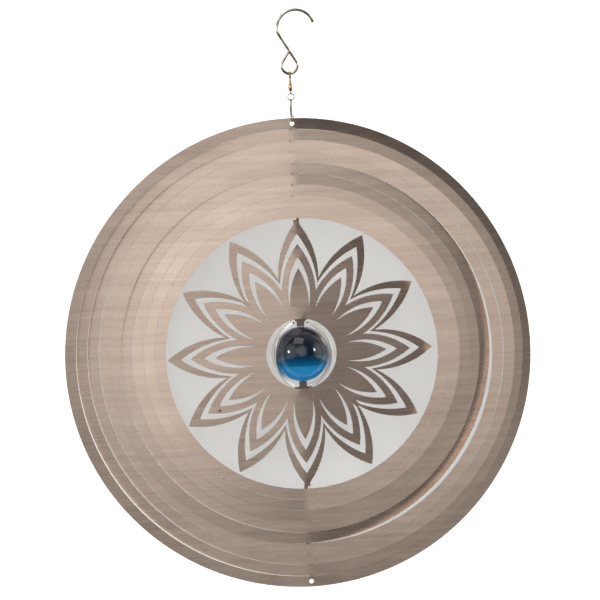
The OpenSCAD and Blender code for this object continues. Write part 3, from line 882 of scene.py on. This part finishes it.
# --- The studio: a pale floor below, a pale wall close behind that is clear from its back, three
# softboxes, a wash on the wall and a surround in patches. The wall takes the disc's soft shadow,
# and
# glows outside a circle round the disc: painted light that whitens the wall there and leaves the
# circle behind the disc darker, partly a painted shadow.
STUDIO_W, GLOW_FROM, GLOW_EDGE = 6, 0.15, 0.01
WALL_RIGHT, WALL_BACK, WALL_DOWN, FLOOR_DOWN = 0.0174, 0.11, 0.0096, 0.55


def matte_board(name, low_tone, high_tone, glow_from=None):
    """Matt emulsion on board. It shows from its front only, and glows outside a radius, a painted
    light that leaves the circle inside it darker as a painted shadow.
    """
    material, tree = new_material(name)
    grain = add(tree, "TexNoise", {"Scale": 90, "Detail": 2})
    tone = add(tree, "Mix", {0: grain.outputs["Fac"], 6: linear(low_tone),
                             7: linear(high_tone)}, data_type="RGBA").outputs[2]
    paint = add(tree, "BsdfDiffuse", {"Color": tone})
    strength = 0
    # Painted light: outside the radius the wall glows white, so the circle behind the disc stays
    # darker as a painted shadow.
    if glow_from:
        away = add(tree, "VectorMath", {0: add(tree, "TexCoord").outputs["Object"]},
                   operation="LENGTH").outputs["Value"]
        strength = add(tree, "MapRange", {"Value": away, "From Min": glow_from,
                                          "From Max": glow_from + GLOW_EDGE,
                                          "To Max": 1.0}).outputs[0]
    painted_glow = add(tree, "Emission", {"Color": tone, "Strength": strength})
    lit = add(tree, "AddShader", {0: paint.outputs[0], 1: painted_glow.outputs[0]})
    clear = add(tree, "BsdfTransparent")
    back_side = add(tree, "NewGeometry").outputs["Backfacing"]
    seen = add(tree, "MixShader", {0: back_side, 1: lit.outputs[0], 2: clear.outputs[0]})
    add(tree, "OutputMaterial", {"Surface": seen.outputs[0]})
    return material


wall_paint = matte_board("board_matt_emulsion_grey", "#CED0D1", "#D4D6D7", GLOW_FROM)
floor_paint = matte_board("board_matt_emulsion_white", "#F0EFED", "#F6F5F3")
centre = Vector((0, 0, disc_height))
s = STUDIO_W / 2
for name, paint, location, turn in (
        ("wall", wall_paint, (WALL_RIGHT, WALL_BACK, disc_height - WALL_DOWN), math.pi / 2),
        ("floor", floor_paint, (0, 0, disc_height - FLOOR_DOWN), 0)):
    mesh = bpy.data.meshes.new(name)
    mesh.from_pydata([(-s, -s, 0), (s, -s, 0), (s, s, 0), (-s, s, 0)], [], [(0, 1, 2, 3)])
    mesh.materials.append(paint)
    plane = bpy.data.objects.new(name, mesh)
    plane.location = location
    plane.rotation_euler = (turn, 0, 0)
    bpy.context.scene.collection.objects.link(plane)
    plane.visible_glossy = name == "wall"

VIEW_A, VIEW_E, ROLL, DISTANCE = -9, 5, 2.45, 1.5
FRAME_W = 382.5
AIM_RIGHT, AIM_UP = -1.15, 34.3
SENSOR = 36
DARKEST = 0.04


def direction(azimuth, elevation):
    """The unit vector from the object towards an azimuth and elevation."""
    a, e = math.radians(azimuth), math.radians(elevation)
    return Vector((math.sin(a) * math.cos(e), -math.cos(a) * math.cos(e), math.sin(e)))


def softbox(name, azimuth, elevation, distance, width, height, power):
    """A rectangular soft light that faces the disc."""
    light = bpy.data.lights.new(name, "AREA")
    light.shape, light.size, light.size_y, light.energy = "RECTANGLE", width, height, power
    light.color = linear("#FFFDFA")[:3]
    lamp = bpy.data.objects.new(name, light)
    back = direction(azimuth, elevation)
    lamp.location = centre + back * distance
    lamp.rotation_euler = back.to_track_quat("Z", "Y").to_euler()
    bpy.context.scene.collection.objects.link(lamp)
    return lamp


softbox("softbox_left", VIEW_A - 58, 12, 1.5, 0.16, 0.22, 4)
softbox("softbox_right", VIEW_A + 58, 16, 1.5, 0.16, 0.22, 4)
softbox("softbox_top", VIEW_A - 20, 62, 1.6, 1.0, 0.8, 5)
wash = softbox("wall_wash", VIEW_A - 2, VIEW_E + 3, 2.2, 0.4, 0.4, 6)
wash.visible_glossy = False

world = bpy.data.worlds.new("surround")
world.use_nodes = True
tree = world.node_tree
tree.nodes.clear()
ray = add(tree, "TexCoord").outputs["Generated"]
level = None
# Bright patches: azimuth, elevation and half width in degrees, and strength
for azimuth, elevation, wide, strength in (
        (VIEW_A - 1, 17, 29, 1.8), (VIEW_A - 50, 15, 38, 1.4), (VIEW_A + 76, 10, 32, 1.4),
        (VIEW_A + 150, 20, 100, 0.6), (0, 90, 95, 0.3)):
    facing = add(tree, "VectorMath", {0: ray, 1: direction(azimuth, elevation)},
                 operation="DOT_PRODUCT").outputs["Value"]
    lobe = add(tree, "MapRange", {"Value": facing, "From Min": math.cos(math.radians(wide)),
                                  "From Max": 1, "To Max": strength},
               interpolation_type="SMOOTHSTEP").outputs[0]
    level = lobe if level is None else add(tree, "Math", {0: level, 1: lobe},
                                           operation="ADD").outputs[0]
level = add(tree, "Math", {0: level, 1: DARKEST}, operation="ADD").outputs[0]
soft = add(tree, "Background", {"Color": linear("#FFFEFC"), "Strength": level})
plain = add(tree, "Background", {"Color": (1, 1, 1, 1), "Strength": 1})
eye_ray = add(tree, "LightPath").outputs["Is Camera Ray"]
mixed = add(tree, "MixShader", {0: eye_ray, 1: soft.outputs[0], 2: plain.outputs[0]})
add(tree, "OutputWorld", {"Surface": mixed.outputs[0]})
bpy.context.scene.world = world
bpy.context.scene.view_settings.view_transform = "Standard"

lens = bpy.data.cameras.new("camera")
lens.sensor_width = SENSOR
lens.lens = SENSOR * DISTANCE / (FRAME_W * MM)
camera = bpy.data.objects.new("camera", lens)
bpy.context.scene.collection.objects.link(camera)
back = direction(VIEW_A, VIEW_E)
right = Vector((0, 0, 1)).cross(back).normalized()
up = back.cross(right)
roll = math.radians(ROLL)
right, up = (right * math.cos(roll) - up * math.sin(roll),
             up * math.cos(roll) + right * math.sin(roll))
location = centre + back * DISTANCE
aim = centre + (right * AIM_RIGHT + up * AIM_UP) * MM
back = (location - aim).normalized()
right = up.cross(back).normalized()
up = back.cross(right)
camera.matrix_world = Matrix.Translation(location) @ Matrix(
    (right, up, back)).transposed().to_4x4()
bpy.context.scene.camera = camera
